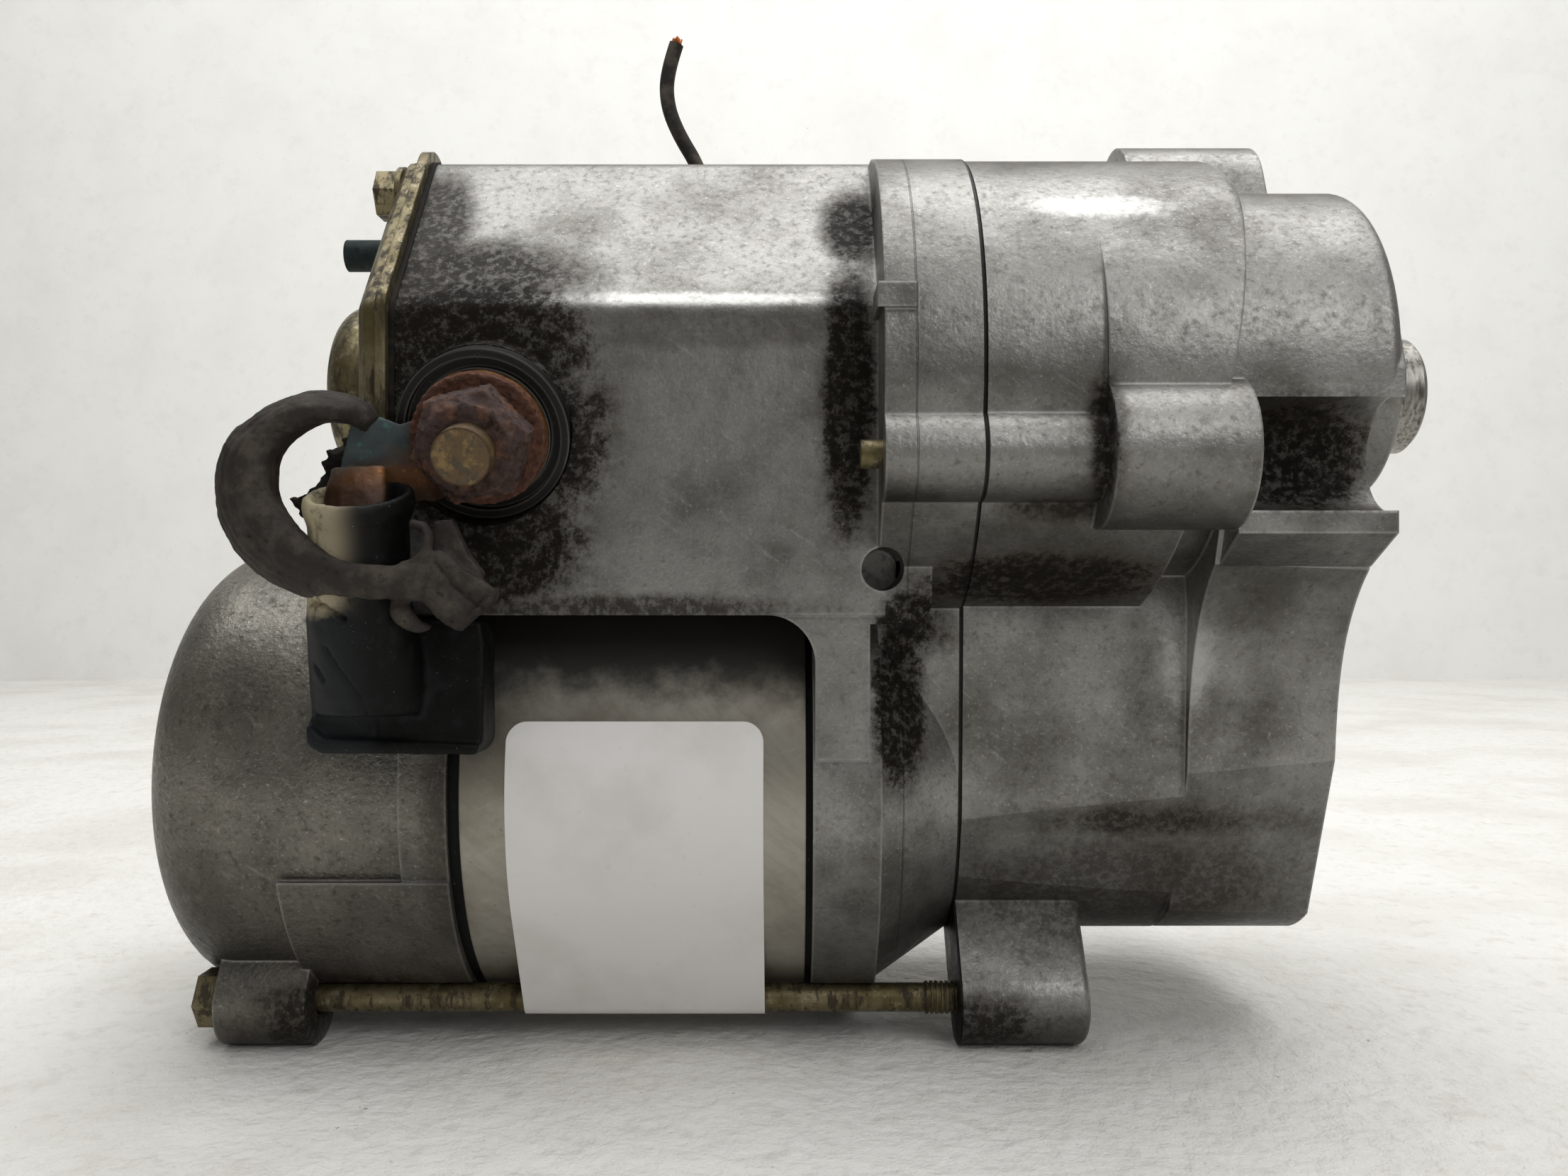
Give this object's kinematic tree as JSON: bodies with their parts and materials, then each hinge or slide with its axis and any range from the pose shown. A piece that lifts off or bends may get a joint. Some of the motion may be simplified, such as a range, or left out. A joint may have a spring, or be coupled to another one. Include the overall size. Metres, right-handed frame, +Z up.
{
  "type": "starter motor",
  "caption": "Used offset-gear-reduction starter motor: cast housings, steel yoke, concentric solenoid switch, sliding pinion, torn terminal cap and a cut trigger wire.",
  "frame": {"origin": "pinion axis at the mounting face", "axes": "+X along the pinion shaft towards the engine, +Z up from the motor to the solenoid, +Y towards the battery terminal side"},
  "size_m": [0.197, 0.0991, 0.1737],
  "materials": {
    "cast_aluminium": "as-cast, stained",
    "yoke_steel": "turned, lightly stained",
    "zinc_plate": "yellow zinc plated",
    "rusty_steel": "rusted",
    "copper": "tarnished copper",
    "winding_copper": "enamelled copper",
    "rubber": "aged rubber",
    "cap_rubber": "aged brown-grey rubber",
    "trigger_rubber": "dark teal rubber",
    "wire_insulation": "dark olive insulation",
    "black_plastic": "moulded phenolic",
    "gasket": "gasket",
    "gear_steel": "hardened steel",
    "bearing_steel": "ground bearing steel",
    "core_steel": "electrical steel",
    "spring_steel": "spring wire",
    "carbon": "carbon-copper brush",
    "paper": "white label"
  },
  "bodies": {
    "housing": {"drive_housing": "cast_aluminium", "switch_housing": "cast_aluminium", "yoke": "yoke_steel", "end_frame": "cast_aluminium", "yoke_seal_rear": "rubber", "yoke_seal_front": "rubber", "switch_cover": "zinc_plate", "cover_gasket": "gasket", "cover_screws": "zinc_plate", "housing_screws": "zinc_plate", "through_bolts": "zinc_plate", "pole_shoes": "core_steel", "field_coils": "winding_copper", "brush_holder": "yoke_steel", "brushes": "carbon", "brush_springs": "spring_steel", "armature_bearing_rear": "bearing_steel", "armature_bearing_front": "bearing_steel", "idler_pin": "gear_steel", "clutch_bearing_rear": "bearing_steel", "clutch_bearing_front": "bearing_steel", "pinion_return_spring": "spring_steel", "solenoid_bobbin": "black_plastic", "pull_in_winding": "winding_copper", "hold_in_winding": "winding_copper", "solenoid_end_plate": "core_steel", "fixed_core": "core_steel", "plunger_return_spring": "spring_steel", "motor_terminal_bolt": "rusty_steel", "motor_terminal_insulator": "black_plastic", "motor_terminal_nut": "rusty_steel", "battery_terminal_bolt": "zinc_plate", "battery_terminal_insulator": "black_plastic", "battery_terminal_nut": "zinc_plate", "fixed_contacts": "copper", "motor_lead": "copper", "lead_boot": "rubber", "terminal_cap": "cap_rubber", "trigger_boot": "trigger_rubber", "trigger_wire": "wire_insulation", "label": "paper"},
    "armature": {"armature_shaft": "gear_steel", "armature_core": "core_steel", "armature_windings": "winding_copper", "commutator": "copper"},
    "idler": {"idler_gear": "gear_steel", "idler_rollers": "bearing_steel"},
    "clutch_outer": {"clutch_gear": "gear_steel", "clutch_rollers": "bearing_steel", "clutch_cover": "yoke_steel"},
    "clutch_sleeve": {"clutch_inner": "gear_steel"},
    "pinion_drive": {"pinion_shaft": "gear_steel", "pinion": "gear_steel", "stop_collar": "gear_steel", "steel_ball": "bearing_steel"},
    "plunger_assembly": {"plunger": "gear_steel", "plunger_stem": "black_plastic", "moving_contact": "copper"}
  },
  "joints": [
    {"name": "armature_spin", "type": "hinge", "parent": "housing", "child": "armature", "pos_m": [-0.107, 0.016, -0.06171], "axis": [1, 0, 0], "continuous": true},
    {"name": "idler_spin", "type": "hinge", "parent": "housing", "child": "idler", "pos_m": [-0.057, 0.01073, -0.04138], "axis": [1, 0, 0], "continuous": true},
    {"name": "clutch_spin", "type": "hinge", "parent": "housing", "child": "clutch_outer", "pos_m": [-0.057, 0, 0], "axis": [1, 0, 0], "continuous": true},
    {"name": "overrun", "type": "hinge", "parent": "clutch_outer", "child": "clutch_sleeve", "pos_m": [-0.05, 0, 0], "axis": [1, 0, 0], "continuous": true},
    {"name": "pinion_slide", "type": "slide", "parent": "clutch_sleeve", "child": "pinion_drive", "axis": [1, 0, 0], "range_m": [0, 0.012], "deforming": ["pinion_return_spring"]},
    {"name": "plunger_slide", "type": "slide", "parent": "housing", "child": "plunger_assembly", "axis": [1, 0, 0], "range_m": [0, 0.012], "stiffness_N_per_m": 1200, "springref_m": -0.012, "deforming": ["plunger_return_spring"]}
  ],
  "couplings": [
    {"joint": "idler_spin", "follows": "armature_spin", "ratio": -0.64706},
    {"joint": "clutch_spin", "follows": "armature_spin", "ratio": 0.275},
    {"joint": "pinion_slide", "follows": "plunger_slide", "ratio": 1}
  ]
}
